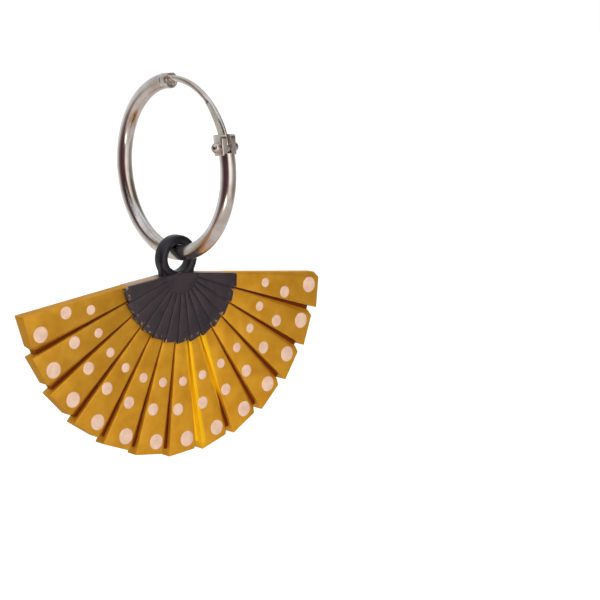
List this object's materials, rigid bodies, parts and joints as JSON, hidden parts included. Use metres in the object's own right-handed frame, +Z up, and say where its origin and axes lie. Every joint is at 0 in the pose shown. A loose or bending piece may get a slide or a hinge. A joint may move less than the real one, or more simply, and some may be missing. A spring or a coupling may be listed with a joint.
{
  "type": "fan earring",
  "caption": "Hinged hoop earring with a charm shaped like an opened folding fan: stepped mustard slats with cream dots, a dark ribbed heart and a bail loop that swings on the hoop.",
  "frame": {"origin": "on the ear wire's centre line at the top of the hoop, where the earring hangs in the ear", "axes": "+Z up, -Y is the fan's painted face, the hoop lies in the YZ plane and the fan in the XZ plane"},
  "size_m": [0.0356, 0.018, 0.0371],
  "materials": {
    "silver": "polished silver",
    "dark_enamel": "glossy near-black enamel",
    "mustard_enamel": "satin mustard enamel, darker in the grooves",
    "cream_paint": "satin cream paint"
  },
  "bodies": {
    "hoop": {"hoop_tube": "silver", "hinge_rivet": "silver"},
    "ear_wire": {"ear_wire": "silver"},
    "fan": {"fan_heart": "dark_enamel", "fan_leaf": "mustard_enamel", "polka_dots": "cream_paint"}
  },
  "joints": [
    {"name": "wire_hinge", "type": "hinge", "parent": "hoop", "child": "ear_wire", "pos_m": [0, -0.00775, -0.006], "axis": [1, 0, 0], "range_deg": [0, 80]},
    {"name": "fan_swing", "type": "hinge", "parent": "hoop", "child": "fan", "pos_m": [0, 0, -0.01721], "axis": [0, 1, 0], "range_deg": [-80, 80]}
  ]
}
